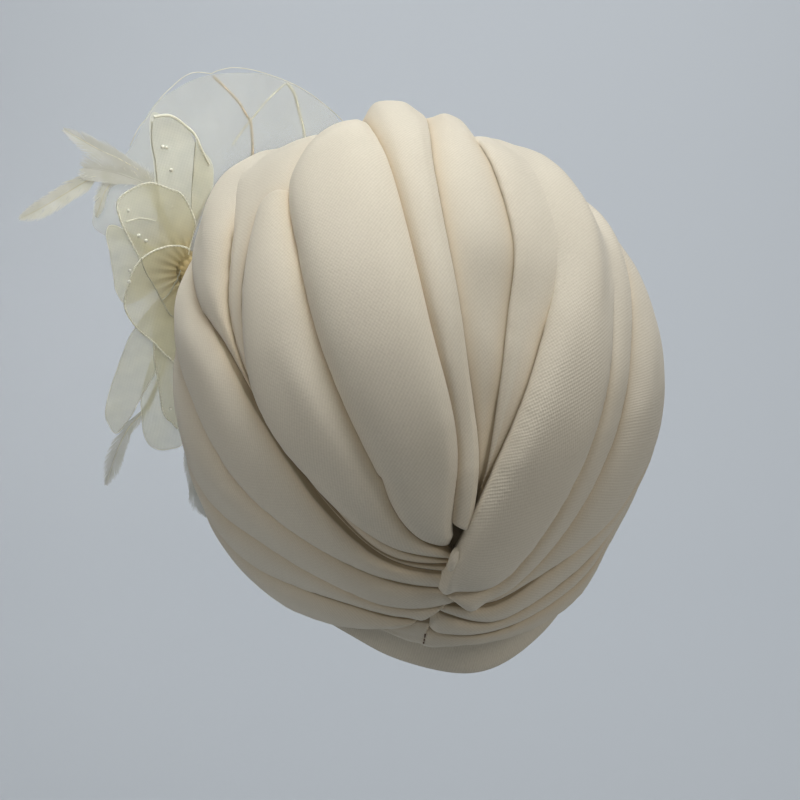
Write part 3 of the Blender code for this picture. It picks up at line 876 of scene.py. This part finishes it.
# One row per petal, as in part.py: its place along the facing axis, how far it ruffles and gathers, its cloth
# and its outline as pairs of angle and reach, where the angle runs from up towards the wearer's left
PETALS = (
    # node, out, ruffle, gather, cloth, outline
    (
        "petal_lower", -8.0, 1.0, 0.5, "organza",
        ((5, 11), (21, 14), (35, 17), (47, 20), (57, 23), (67, 26), (79, 29), (93, 32), (107, 36), (124, 37))
        + ((143, 38), (156, 42), (165, 42)),
    ),
    (
        "petal_upper", -5.5, 1.0, 0.5, "organza",
        ((-12, 22), (-1, 35), (8, 40), (18, 46), (29, 48), (39, 48), (47, 41), (56, 32), (70, 25), (87, 21))
        + ((104, 19), (129, 20), (149, 23)),
    ),
    (
        "petal_hanging", -3.0, 0.9, 0.5, "organza",
        ((129, 21), (135, 27), (141, 33), (150, 44), (157, 55), (163, 70), (167, 75), (171, 73)),
    ),
    (
        "petal_top", -0.5, 1.1, 0.5, "thick_organza",
        ((-24, 46), (-12, 58), (-7, 67), (1, 72), (5, 74), (8, 65), (11, 50), (21, 30)),
    ),
    (
        "petal_backing", 3.0, 1.4, 0.6, "organza",
        ((50, 38), (57, 42), (71, 37), (85, 35), (100, 35), (114, 31)),
    ),
    (
        "petal_rolled", 6.8, 1.4, 0.6, "organza",
        ((134, 38), (139, 55), (144, 77), (148, 84), (152, 86), (155, 69), (159, 45)),
    ),
    (
        "petal_round", 10.0, 1.2, 0.6, "organza",
        ((156, 60), (160, 80), (163, 89), (167, 93), (171, 93), (175, 90), (179, 75)),
    ),
    (
        "net_fan", 14.2, 1.2, 0.9, "net",
        ((-109, 52), (-97, 66), (-85, 81), (-72, 98), (-60, 106), (-48, 103), (-40, 100), (-33, 97))
        + ((-19, 89), (-9, 82), (1, 74), (15, 59), (30, 55), (51, 48), (60, 40)),
    ),
)

# The crisp edge of the fan, in two arcs that meet at a small notch
FAN_LEFT = (
    *((15, 58), (10, 65), (5.5, 69), (1, 73), (-4, 78)),
    *((-10, 82), (-17, 85.5), (-23, 86.3), (-30, 84.5)),
)
FAN_RIGHT = (
    *((-30, 84.5), (-34, 85.5), (-42, 85.5), (-53, 82.3)),
    *((-68, 75), (-79, 67.5), (-89, 58), (-96, 50)),
)

# The side of the top petal that is turned over: from its right vein to its edge, both from the top down
TURNED_FROM = ((-12, 58), (-10, 50), (-7, 36), (-5, 25), (-5, 14))
TURNED_TO = ((-12.5, 58.5), (-17, 47), (-18, 40), (-15, 28), (-8, 14))
TURNED_STEPS = 22
TURNED_LIFT = 0.5

# One row per cord: the petal that carries it, its tone, its radius, twisted or plain, and its route as left
# and up. A cord without a route follows its petal's outline
CORDS = (
    # petal, tone, radius, twisted, route
    ("petal_lower", "pale", 0.52, True, ()),
    ("petal_lower", "grey", 0.32, False, ((17, -11), (13, -8), (9, -3), (6, 2))),
    ("petal_lower", "grey", 0.36, True, ((24, 11), (23, 5), (19, -5), (16, -13), (13, -19), (7, -21))),
    ("petal_upper", "pale", 0.52, True, ()),
    ("petal_upper", "pale", 0.32, False, ((28, 28), (21, 28.5), (14, 26))),
    ("petal_hanging", "pale", 0.46, True, ()),
    ("petal_hanging", "pale", 0.3, False, ((21, -32), (18, -36), (14, -39), (10, -42))),
    ("petal_top", "grey", 0.34, True, ((7, 70), (8.5, 61), (8.4, 53), (9, 44), (11, 28), (11, 19), (10, 13))),
    ("petal_top", "grey", 0.3, True, TURNED_FROM),
    (
        "petal_top", "pale", 0.7, False,
        ((6, 72), (0, 72), (-4, 70), (-8, 66), (-12, 61), (-14, 54), (-17, 46)),
    ),
    ("net_fan", "pale", 0.2, False, FAN_LEFT),
    ("net_fan", "pale", 0.2, False, FAN_RIGHT),
    ("petal_backing", "pale", 0.14, False, ()),
    ("petal_rolled", "pale", 0.16, False, ()),
    ("petal_round", "pale", 0.16, False, ()),
    (
        "net_fan", "tan", 0.75, False,
        ((-31, 83), (-36, 77), (-41, 70), (-44, 63), (-46, 59), (-45.5, 51), (-44, 40)),
    ),
    ("net_fan", "pale", 0.5, False, ((-67, 74), (-58, 69), (-47, 61), (-39, 54), (-35, 50))),
    ("net_fan", "pale", 0.8, False, ((-68, 74), (-71, 69), (-72, 62), (-73, 53), (-73, 44))),
)
CORD_SIDES = 7
CORD_STEP = 0.8
# A twisted cord: the length of one turn, and its strands' distance and radius as shares of the cord's radius
TWIST_LENGTH = 3.4
STRAND_SHIFT = 0.5
STRAND_RADIUS = 0.62
# A way that no cord runs along, from which the sides of a tube are set
ASIDE = (0.3, 0.2, 0.9)

# One row per pearl: the petal that carries it, its place as left and up, and its radius
PEARLS = (
    ("petal_top", 4, 58, 0.95),
    ("petal_top", 2.2, 57.4, 0.85),
    ("petal_top", 2, 47, 1.0),
    ("petal_top", 1, 34, 0.95),
    ("petal_top", 4, 30, 0.9),
    ("petal_upper", 23, 21, 0.95),
    ("petal_upper", 20, 18, 0.9),
    ("petal_upper", 26, 33, 0.8),
    ("petal_lower", 30, 6, 0.8),
    ("petal_lower", 31, 1, 0.9),
    ("petal_hanging", 17, -66, 0.7),
)

# One row per feather, as in part.py: its place along the facing axis and its middle line as left, up and
# half-width
FEATHERS = (
    # node, out, middle line
    ("feather_soft", 1.3, ((9, 30, 0.8), (13, 45, 1.5), (24, 55, 3.5), (33, 61, 3.5), (47, 72, 0.6))),
    (
        "feather_long", 5.0,
        ((8, 28, 0.8), (12, 44, 1.2), (29, 50, 3.0), (38, 48, 4.2))
        + ((53, 42, 4.0), (63, 38, 2.6), (72, 35, 0.5)),
    ),
    ("feather_claw", 8.5, ((8, 26, 0.8), (11, 44, 1.2), (24, 45, 2.2), (31, 41, 2.6), (37, 30, 0.5))),
    ("feather_low", 11.9, ((9, -36, 0.8), (22, -65, 1.6), (33, -76, 3.6), (40, -87, 3.8), (47, -104, 0.5))),
)

# Two tufts of down that show beside the petals, in the same terms
TUFTS = (
    (
        "hanging_down", 5.0,
        ((4, -70, 1.0), (6, -86, 2.6), (7, -97, 3.0), (6, -108, 3.4), (5, -118, 3.0), (0, -131, 0.6)),
    ),
    ("upper_down", 1.0, ((8, 28, 1.0), (12, 40, 4.5), (22, 47, 6.5), (31, 51, 5.0), (41, 54, 1.0))),
)

# A feather's barbs: their distance, width, lean and curve towards the point, how they dish as a share of the
# half-width, and the share of the feather's length from its root where they are loose down
BARB_STEP = 0.22
BARB_WIDTH = 0.34
BARB_LEAN = 32.0
BARB_CURVE = 0.28
BARB_DISH = 0.125
DOWNY_SHARE = 0.45
SOFT_FEATHER = 0.55
QUILL_ROOT = 0.5
QUILL_TIP = 0.12

# The knot of the flower as in part.py: out along the facing axis and reach
KNOT_PROFILE = (
    *((-10.0, 3.2), (-9.6, 5.4), (-8.2, 7.1), (-4.0, 7.7)),
    *((0.0, 7.8), (8.0, 7.8), (14.6, 7.8), (17.0, 5.2)),
)
KNOT_GATHERS = 14
KNOT_SIDES = 140


def flower_point(left, up, out):
    """From the flower's frame to the dome's: left and up across its face, out along the way that it faces."""
    facing = turned((0, 1, 0), 2, FLOWER_TURN)
    aside = np.array((-facing[1], facing[0], 0.0))
    return np.array(FLOWER_AT) + aside * left + UP * up + facing * out


def off_the_folds(point, clearance):
    """The same point, or the one above it where it would lie in the folds."""
    x = point[0] - NAPE_SHIFT * (min(0.0, point[2]) / 100) ** 2 + CROWN_SHIFT * max(0.0, point[2])
    reach = CROWN_RISE if point[2] > 0 else LOWER_REACH
    d = unit((x / HALF_WIDTH, point[1] / HALF_DEPTH, point[2] / reach))
    over = dome(d, np.array(FOLD_STAND + clearance))
    depth = float(np.dot(over - point, d))
    return point + d * depth if depth > 0 else point


def layer_point(left, up, out, above=0.0, ruffle=0.0, gather=0.0):
    """A point on a layer of the flower, in metres, with its soft ruffles and the gathers near the knot."""
    radius = sqrt(left**2 + up**2)
    from_knot = min(1.0, max(0.0, (radius - PETAL_ROOT) / RUFFLES_OVER))
    turn = atan2(left, up)
    rippled = noise.noise(Vector((left / 17, up / 17, out * 1.7)))
    rippled += 0.5 * noise.noise(Vector((left / 8, up / 8, out)))
    level = out + FLOWER_DISH * radius**2 / DISH_REACH**2 + above
    level += ruffle * rippled * from_knot
    level += gather * cos(PETAL_GATHERS * turn + out) * exp(-max(0.0, radius - PETAL_ROOT) / GATHERS_OVER)
    clearance = PETAL_CLEARANCE + (out - PETALS[0][1]) * LAYER_STEP + above
    return to_world(off_the_folds(flower_point(left, up, level), clearance))


def petal_outline(outline):
    """The outline as left and up, rounded into the knot at both ends."""
    outline = sorted(outline)
    ends = (outline[0][0] + 3, PETAL_ROOT), (outline[-1][0] - 3, PETAL_ROOT)
    rows = [ends[0]] + outline + [ends[1]]
    places = [(r * sin(radians(a)), r * cos(radians(a))) for a, r in rows]
    return spline(places, OUTLINE_STEPS)


def tube(path, radius, sides=CORD_SIDES, taper=None):
    """Points and faces of a round tube along a path in metres."""
    path = np.asarray(path, float)
    forward = unit(np.gradient(path, axis=0))
    side = np.cross(forward[0], ASIDE)
    turns = [2 * pi * j / sides for j in range(sides)]
    points = []
    for k, point in enumerate(path):
        side = unit(side - forward[k] * np.dot(side, forward[k]))
        other = np.cross(forward[k], side)
        r = radius * (taper[k] if taper is not None else 1.0)
        points += [point + (side * cos(a) + other * sin(a)) * r for a in turns]
    return points, tube_faces(len(path), sides)


def joined(parts):
    """Points and faces of several pieces as one mesh."""
    points, faces = [], []
    for some_points, some_faces in parts:
        start = len(points)
        points.extend(some_points)
        faces.extend(tuple(i + start for i in face) for face in some_faces)
    return points, faces


def twisted(path, radius):
    """Two strands that twist round each other along a path in metres."""
    path = np.asarray(path)
    forward = unit(np.gradient(path, axis=0))
    gone = np.concatenate(((0,), np.cumsum(np.linalg.norm(np.diff(path, axis=0), axis=1))))
    side = unit(np.cross(forward, ASIDE))
    other = np.cross(forward, side)
    strands = []
    for half_turn in (0.0, pi):
        turn = 2 * pi * gone / (TWIST_LENGTH * MM) + half_turn
        shift = side * np.cos(turn)[:, None] + other * np.sin(turn)[:, None]
        strands.append(tube(path + shift * radius * STRAND_SHIFT * MM, radius * STRAND_RADIUS * MM, 6))
    return joined(strands)


def evenly(points, step):
    """Points at even steps along a polyline."""
    points = np.asarray(points, float)
    gone = np.concatenate(((0,), np.cumsum(np.linalg.norm(np.diff(points, axis=0), axis=1))))
    at = np.linspace(0, gone[-1], max(3, int(gone[-1] / step)))
    return np.stack([np.interp(at, gone, points[:, k]) for k in range(points.shape[1])], -1)


def cord_mesh(row, cords, tones):
    """The cords of one petal as one mesh, each in its own tone."""
    node, out, ruffle, gather, _, outline = row
    used = list(dict.fromkeys(cord[1] for cord in cords))
    parts, tone_numbers = [], []
    for _, tone, radius, is_twisted, route in cords:
        flat = evenly(spline(route, 8) if route else petal_outline(outline), CORD_STEP)
        above = radius * (1 if node == "net_fan" else -1) if route else 0.0
        path = [layer_point(left, up, out, above, ruffle, gather) for left, up in flat]
        parts.append(twisted(path, radius) if is_twisted else tube(path, radius * MM))
        tone_numbers += [used.index(tone)] * len(parts[-1][1])
    obj = mesh_object(node + "_cords", *joined(parts), closed=True)
    fixed(obj, "organza", None, *(tones[tone] for tone in used))
    obj.data.polygons.foreach_set("material_index", tone_numbers)
    return obj


def layer_sheet(name, row, lines, cloth, node=None, above=0.0):
    """A sheet on a petal's layer through lines of places, each given as left and up."""
    _, out, ruffle, gather, *_ = row
    flat = [place for line in lines for place in line]
    points = [layer_point(left, up, out, above, ruffle, gather) for left, up in flat]
    faces = grid_faces(len(lines), len(lines[0]), closed=False)
    obj = mesh_object(name, points, faces, np.array(flat) * MM)
    return fixed(obj, "net" if node == "net_fan" else "organza", node, cloth)


def turned_edge(row, cloth):
    """The side of the top petal that is turned over onto itself and looks denser."""
    near, far = (evenly(spline(side, 6), 2.0)[:TURNED_STEPS] for side in (TURNED_FROM, TURNED_TO))
    lines = [[a + (b - a) * share for share in np.linspace(0, 1, 7)] for a, b in zip(near, far)]
    return layer_sheet("petal_top_turned_edge", row, lines, cloth, above=-TURNED_LIFT)


def petal(row, cloth, tones):
    """A petal or the fan as a sheet from the knot to its outline, with the cords that it carries."""
    node, edge = row[0], petal_outline(row[-1])
    roots = unit(edge) * PETAL_ROOT
    lines = [roots + (edge - roots) * (ring / PETAL_RINGS) for ring in range(PETAL_RINGS + 1)]
    obj = layer_sheet(node + "_cloth", row, lines, cloth, node)
    pieces = [cord_mesh(row, [cord for cord in CORDS if cord[0] == node], tones)]
    if node == "petal_top":
        pieces.append(turned_edge(row, cloth))


def gathered_knot(cloth):
    """The knot of the flower, drawn together into many fine gathers."""
    points, coords = [], []
    profile = spline(KNOT_PROFILE, 4)
    for out, reach in profile:
        for k in range(KNOT_SIDES):
            turn = 2 * pi * k / KNOT_SIDES
            wave = 0.5 + 0.5 * cos(KNOT_GATHERS * turn + 0.8 * sin(3 * turn) + 0.05 * out)
            lobed = reach * (0.90 + 0.10 * wave**0.6)
            points.append(to_world(flower_point(lobed * cos(turn), lobed * sin(turn), out)))
            coords.append((turn * reach * MM, out * MM))
    obj = mesh_object("gathered_knot", points, tube_faces(len(profile), KNOT_SIDES), coords, closed=True)
    fixed(obj, "organza", "flower_core", cloth)


def pearls(made_of):
    parts = []
    rows = {row[0]: row for row in PETALS}
    for node, left, up, radius in PEARLS:
        _, out, ruffle, gather, *_ = rows[node]
        middle = layer_point(left, up, out, -radius, ruffle, gather)
        ball = bmesh.new()
        bmesh.ops.create_icosphere(ball, subdivisions=2, radius=radius * MM)
        points = [np.array(v.co) + middle for v in ball.verts]
        faces = [tuple(v.index for v in face.verts) for face in ball.faces]
        ball.free()
        parts.append((points, faces))
    fixed(mesh_object("pearls", *joined(parts)), "organza", None, made_of)


def feather(row, barbs_of, quill_of, draw):
    """A feather with a tapered quill and a vane of single barbs that lean towards its point."""
    node, out, line = row
    left, up, half = line[0]
    start = PETAL_ROOT / sqrt(left**2 + up**2)
    flat = evenly(spline(((left * start, up * start, half), *line), 12), BARB_STEP)
    bend = [FLOWER_DISH * (x**2 + z**2) / DISH_REACH**2 for x, z, _ in flat]

    def place(x, z, above, level):
        return to_world(flower_point(x, z, out + level + above))

    count = len(flat)
    quill_path = [place(x, z, 0.0, level) for (x, z, _), level in zip(flat, bend)][:: max(1, count // 60)]
    taper = np.linspace(1.0, QUILL_TIP / QUILL_ROOT, len(quill_path))
    points, faces = tube(quill_path, QUILL_ROOT * MM, 6, taper)
    quill_count = len(faces)
    along = unit(np.gradient(flat[:, :2], axis=0))
    for k in range(2, count):
        x, z, half = flat[k]
        downy = k / count < DOWNY_SHARE
        for side in (-1, 1):
            across = np.array((-along[k][1], along[k][0])) * side
            lean = radians(BARB_LEAN + draw.uniform(-5, 5))
            length = half * 1.12 / sin(lean) * draw.uniform(0.88, 1.06)
            if downy:
                length = max(length, 1.5) * draw.uniform(0.7, 2.2)
                lean = radians(BARB_LEAN + draw.uniform(-12, 45))
            way = along[k] * cos(lean) + across * sin(lean)
            ridge = draw.uniform(-0.12, 0.12) + (draw.uniform(-1.4, 1.4) if downy else 0.0)
            width = BARB_WIDTH * (0.5 if downy else 1.0) / 2
            normal = np.array((-way[1], way[0]))
            first = len(points)
            for reach, wide in ((0.0, 1.0), (0.5, 0.9), (1.0, 0.25)):
                middle = np.array((x, z)) + way * length * reach + along[k] * BARB_CURVE * length * reach**2
                above = (ridge - BARB_DISH * half) * reach
                for edge in (-1, 1):
                    points.append(place(*(middle + normal * width * wide * edge), above, bend[k]))
            faces.append((first, first + 1, first + 3, first + 2))
            faces.append((first + 2, first + 3, first + 5, first + 4))
    obj = mesh_object(node + "_barbs", points, faces)
    fixed(obj, "feather", node if row in FEATHERS else None, barbs_of, quill_of)
    for face in obj.data.polygons[:quill_count]:
        face.material_index = 1


GATHERED_REACH = 0.011
# The brown near the knot: partly the denser gathered cloth and partly painted shadow between flower and folds
GATHERED_TINT_AND_SHADOW = (0.46, 0.34, 0.12)
SHEER_SHADE = (0.93, 0.93, 0.93)
THREAD_SHADE = (0.80, 0.77, 0.70)
THREAD_LIGHT = (1.08, 1.08, 1.08)


def sheer_material(name, colour, opacity, lines, clouds=0.35):
    """Organza or net: a crisp sheer cloth with a faint grid of threads and cloudy folds in its density. Near
    the knot it is denser and browner, the brown partly its gathers and partly painted shadow.
    """
    made, tree, shader = fresh_material(name)
    cloth, u, v = cloth_map(tree, "cloth")
    cloud = soft_noise(tree, cloth, 60.0, 2.0, 0.55)
    weave = summed(tree, ("ADD", *(("MULTIPLY", waves(way, lines), 0.5) for way in (u, v))))
    cloudy = ("MULTIPLY", ("SUBTRACT", cloud, 0.5), clouds)
    radius = node_of(tree, "ShaderNodeVectorMath", operation="LENGTH")
    tree.links.new(cloth, radius.inputs[0])
    gathers = summed(tree, fading(radius.outputs["Value"], GATHERED_REACH))
    woven = ("ADD", ("MULTIPLY", weave, 0.05), ("MULTIPLY", gathers, 0.9))
    density = ("ADD", ("ADD", opacity, cloudy), woven)
    clamped = node_of(tree, "ShaderNodeClamp")
    tree.links.new(summed(tree, density), clamped.inputs["Value"])
    tree.links.new(clamped.outputs[0], shader.inputs["Alpha"])
    tinted = mixed(tree, cloud, toned(colour, SHEER_SHADE), toned(colour, LIGHTER))
    # Browner near the knot, partly for the gathers and partly as painted shadow
    tinted = mixed(tree, summed(tree, ("MULTIPLY", gathers, 1.7)), tinted, GATHERED_TINT_AND_SHADOW)
    tree.links.new(tinted, shader.inputs["Base Color"])
    relief_on(tree, shader, weave, 0.3, 0.0002)
    surface(shader, Roughness=0.45, Specular_IOR_Level=0.4, Sheen_Weight=0.2)
    return made


def thread_material(name, colour, roughness, alpha=1.0):
    made, tree, shader = fresh_material(name)
    position = node_of(tree, "ShaderNodeNewGeometry").outputs["Position"]
    tint = soft_noise(tree, position, 140.0, 2.0)
    tinted = mixed(tree, tint, toned(colour, THREAD_SHADE), toned(colour, THREAD_LIGHT))
    tree.links.new(tinted, shader.inputs["Base Color"])
    surface(shader, Roughness=roughness, Sheen_Weight=0.2, Alpha=alpha)
    return made


def flower():
    cloths = {
        "organza": sheer_material("organza", (0.97, 0.93, 0.68), 0.53, 0.0007),
        "thick_organza": sheer_material("thick_organza", (0.96, 0.94, 0.74), 0.48, 0.0007),
        "net": sheer_material("net", (0.87, 0.87, 0.76), 0.32, 0.0005, clouds=0.1),
    }
    tones = {
        "pale": thread_material("pale_cord", (0.94, 0.93, 0.80), 0.6),
        "grey": thread_material("grey_cord", (0.52, 0.51, 0.41), 0.6),
        "tan": thread_material("tan_cord", (0.78, 0.68, 0.55), 0.6),
    }
    barbs = thread_material("feather_barbs", (0.97, 1.0, 0.90), 0.75)
    soft_barbs = thread_material("soft_feather_barbs", (0.97, 1.0, 0.92), 0.75, SOFT_FEATHER)
    quill = thread_material("feather_quill", (0.90, 0.88, 0.70), 0.5)
    # The knot is pale organza, coloured dark brown as painted shadow deep between the flower and the folds
    gathered_knot(thread_material("shadowed_knot_organza", (0.46, 0.36, 0.16), 0.6))
    for row in PETALS:
        petal(row, cloths[row[4]], tones)
    pearls(thread_material("pearl", (0.95, 0.94, 0.84), 0.22))
    draw = Random(7)
    for row in FEATHERS:
        feather(row, soft_barbs if row[0] in ("feather_soft", "feather_low") else barbs, quill, draw)
    for row in TUFTS:
        feather(row, soft_barbs, soft_barbs, draw)


# The camera of the photo: where it aims, from which side, and the picture's middle moved to frame the flower
CAMERA_AZIMUTH = 3.0
CAMERA_ELEVATION = 18.0
CAMERA_DISTANCE = 0.95
CAMERA_LENS = 95.0
CAMERA_SHIFT = (-0.03, -0.021)
FLOOR_LEVEL = -0.72


def add_camera():
    target = Vector(to_world((0, 0, 0)))
    a, e = radians(CAMERA_AZIMUTH), radians(CAMERA_ELEVATION)
    back = Vector((sin(a) * cos(e), -cos(a) * cos(e), sin(e)))
    data = bpy.data.cameras.new("camera")
    data.lens = CAMERA_LENS
    data.sensor_width = 36.0
    data.shift_x, data.shift_y = CAMERA_SHIFT
    data.clip_start, data.clip_end = 0.05, 20
    camera = bpy.data.objects.new("camera", data)
    camera.location = target + back * CAMERA_DISTANCE
    camera.rotation_euler = (-back).to_track_quat("-Z", "Y").to_euler()
    bpy.context.scene.collection.objects.link(camera)
    bpy.context.scene.camera = camera


def add_light(name, location, size, power, colour, aim=(0.0, 0.0, -0.1), spread=180):
    data = bpy.data.lights.new(name, "AREA")
    data.shape = "DISK"
    data.size = size
    data.energy = power
    data.color = colour
    data.spread = radians(spread)
    light = bpy.data.objects.new(name, data)
    light.location = location
    way = Vector(aim) - Vector(location)
    light.rotation_euler = way.to_track_quat("-Z", "Y").to_euler()
    bpy.context.scene.collection.objects.link(light)


def add_stage():
    """A plain pale floor that curves up into a plain backdrop."""
    profile = [(-3.0, 0.0)] + [(1.2 + 0.8 * sin(a), 0.8 - 0.8 * cos(a)) for a in np.linspace(0, pi / 2, 17)]
    profile.append((2.0, 4.0))
    points = [(x, y, FLOOR_LEVEL + z) for y, z in profile for x in (-4.0, 4.0)]
    faces = [(2 * k, 2 * k + 1, 2 * k + 3, 2 * k + 2) for k in range(len(profile) - 1)]
    backdrop = mesh_object("backdrop", points, faces)
    paper, _, shader = fresh_material("backdrop_paper")
    surface(shader, Base_Color=(0.575, 0.612, 0.652, 1), Roughness=0.9)
    backdrop.data.materials.append(paper)
    world = bpy.data.worlds.new("studio")
    world.use_nodes = True
    world.node_tree.nodes["Background"].inputs["Color"].default_value = (0.97, 0.96, 0.94, 1)
    world.node_tree.nodes["Background"].inputs["Strength"].default_value = 0.125
    bpy.context.scene.world = world
    bpy.context.scene.view_settings.view_transform = "Standard"
    add_light("overhead", (0.07, 0.05, 1.15), 0.6, 10.7, (0.95, 0.98, 1.0))
    add_light("background", (0.0, 0.7, 1.3), 0.8, 26.0, (1.0, 1.0, 1.0), aim=(0.0, 2.0, 0.9))
    add_light("side", (1.15, -0.45, 0.6), 0.5, 3.5, (1.0, 0.96, 0.9))
    add_light("back_left", (-1.2, -0.6, 0.5), 0.5, 2.2, (1.0, 0.98, 0.94))
    add_light("flower", (0.05, -1.2, 0.55), 0.3, 0.18, (1.0, 1.0, 0.95), aim=(-0.22, 0.03, 0.05), spread=26)


def main():
    add_camera()
    add_stage()
    knit = knit_material("padded_knit", (0.82, 0.75, 0.62), 0.0014, 0.165, crease_shaded=True)
    band = knit_material("band_knit", (0.80, 0.73, 0.60), 0.0013, 0.2)
    cloths = [pleats(name, node, first, last, knit) for name, node, first, last in PANELS]
    stitches(cloths)
    rim_band(band)
    flower()


main()
